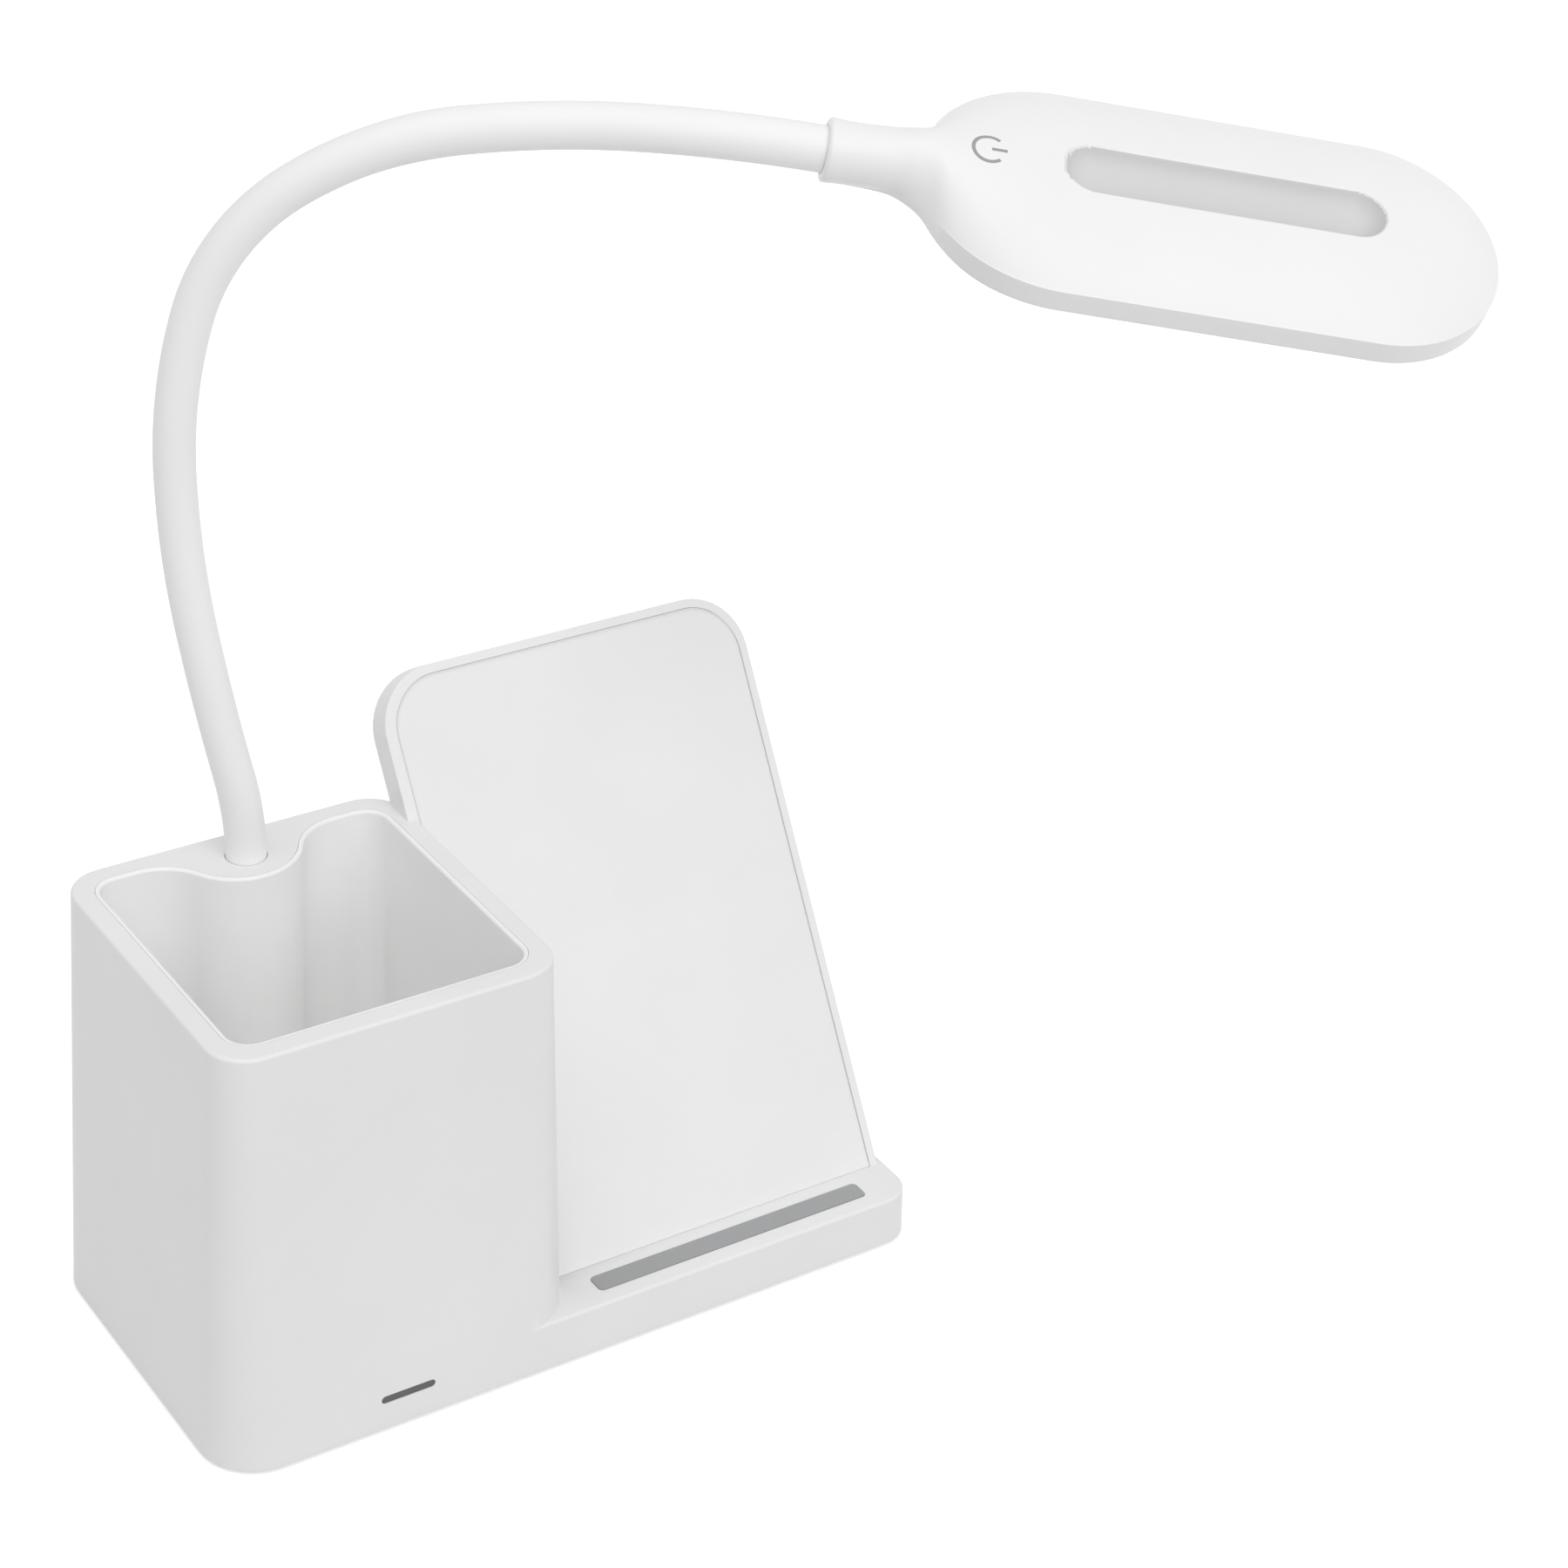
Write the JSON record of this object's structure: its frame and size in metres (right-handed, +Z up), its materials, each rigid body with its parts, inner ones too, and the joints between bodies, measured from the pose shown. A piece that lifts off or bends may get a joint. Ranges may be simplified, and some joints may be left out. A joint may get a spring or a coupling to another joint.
{
  "type": "desk lamp with pen pot and charging rest",
  "caption": "Desk lamp on a base with an open pen pot and a leaning charging rest for a phone; a bendable gooseneck carries a flat, rounded light head that twists.",
  "frame": {"origin": "on the table under the middle of the base's lower outline", "axes": "+X from the pen pot towards the charging rest, +Y from the ledge's front towards the back, +Z up"},
  "size_m": [0.2614, 0.1499, 0.2683],
  "materials": {
    "housing_white": "fine satin",
    "liner_white": "satin",
    "cover_white": "satin",
    "panel_white": "soft satin",
    "screw_steel": "plain",
    "ballast_iron": "plain",
    "copper": "enamelled copper wire",
    "ferrite": "dull",
    "foam": "dull",
    "circuit_board": "satin",
    "window_grey": "translucent",
    "grip_grey": "dull",
    "brass_nut": "plain",
    "hose_steel": "plain",
    "sleeve_white": "smooth silicone",
    "foot_rubber": "dull",
    "head_white": "fine satin",
    "bushing_black": "satin",
    "diffuser_white": "frosted",
    "light_board_white": "satin",
    "chip_yellow": "satin",
    "mark_grey": "satin"
  },
  "bodies": {
    "base": {"main_housing": "housing_white", "pot_liner": "liner_white", "bottom_cover": "cover_white", "rubber_foot_1": "foot_rubber", "rubber_foot_2": "foot_rubber", "rubber_foot_3": "foot_rubber", "rubber_foot_4": "foot_rubber", "base_screws": "screw_steel", "ballast_plate": "ballast_iron", "charge_panel": "panel_white", "charging_coil": "copper", "ferrite_sheet": "ferrite", "coil_pad": "foam", "charger_board": "circuit_board", "main_board": "circuit_board", "power_inlet": "screw_steel", "status_window": "window_grey", "grip_strip": "grip_grey", "neck_lock_nut": "brass_nut", "neck_hose_0": "hose_steel", "neck_sleeve_0": "sleeve_white"},
    "link_1": {"neck_hose_1": "hose_steel", "neck_sleeve_1": "sleeve_white"},
    "link_2": {"neck_hose_2": "hose_steel", "neck_sleeve_2": "sleeve_white"},
    "link_3": {"neck_hose_3": "hose_steel", "neck_sleeve_3": "sleeve_white"},
    "link_4": {"neck_hose_4": "hose_steel", "neck_sleeve_4": "sleeve_white"},
    "link_5": {"neck_hose_5": "hose_steel", "neck_sleeve_5": "sleeve_white"},
    "link_6": {"neck_hose_6": "hose_steel", "neck_sleeve_6": "sleeve_white"},
    "link_7": {"neck_hose_7": "hose_steel", "neck_sleeve_7": "sleeve_white", "neck_end_nut": "brass_nut"},
    "head": {"head_shell": "head_white", "head_bushing": "bushing_black", "head_base": "head_white", "head_screws": "screw_steel", "light_diffuser": "diffuser_white", "light_board": "light_board_white", "light_chips": "chip_yellow", "touch_spring": "screw_steel", "power_mark": "mark_grey"}
  },
  "joints": [
    {"name": "neck_bend_1", "type": "hinge", "parent": "base", "child": "link_1", "pos_m": [-0.04584, 0.03044, 0.12083], "axis": [0.4909, 0.8712, 0], "range_deg": [-20, 10]},
    {"name": "neck_bend_2", "type": "hinge", "parent": "link_1", "child": "link_2", "pos_m": [-0.05163, 0.03371, 0.15456], "axis": [0.8591, -0.4841, 0.1659], "range_deg": [-20, 20]},
    {"name": "neck_bend_3", "type": "hinge", "parent": "link_2", "child": "link_3", "pos_m": [-0.05445, 0.03529, 0.18876], "axis": [0.4909, 0.8712, 0], "range_deg": [-25, 12]},
    {"name": "neck_bend_4", "type": "hinge", "parent": "link_3", "child": "link_4", "pos_m": [-0.05074, 0.0332, 0.22275], "axis": [0.8394, -0.473, -0.2677], "range_deg": [-22, 22]},
    {"name": "neck_bend_5", "type": "hinge", "parent": "link_4", "child": "link_5", "pos_m": [-0.03356, 0.02353, 0.25004], "axis": [0.4909, 0.8712, 0], "range_deg": [-30, 14]},
    {"name": "neck_bend_6", "type": "hinge", "parent": "link_5", "child": "link_6", "pos_m": [-0.00578, 0.00787, 0.26204], "axis": [0.1118, -0.063, -0.9917], "range_deg": [-25, 25]},
    {"name": "neck_bend_7", "type": "hinge", "parent": "link_6", "child": "link_7", "pos_m": [0.02411, -0.00897, 0.26347], "axis": [0.4909, 0.8712, 0], "range_deg": [-35, 15]},
    {"name": "head_twist", "type": "hinge", "parent": "link_7", "child": "head", "pos_m": [0.05392, -0.02577, 0.26024], "axis": [0.8622, -0.4858, -0.1431], "range_deg": [-40, 40]}
  ]
}
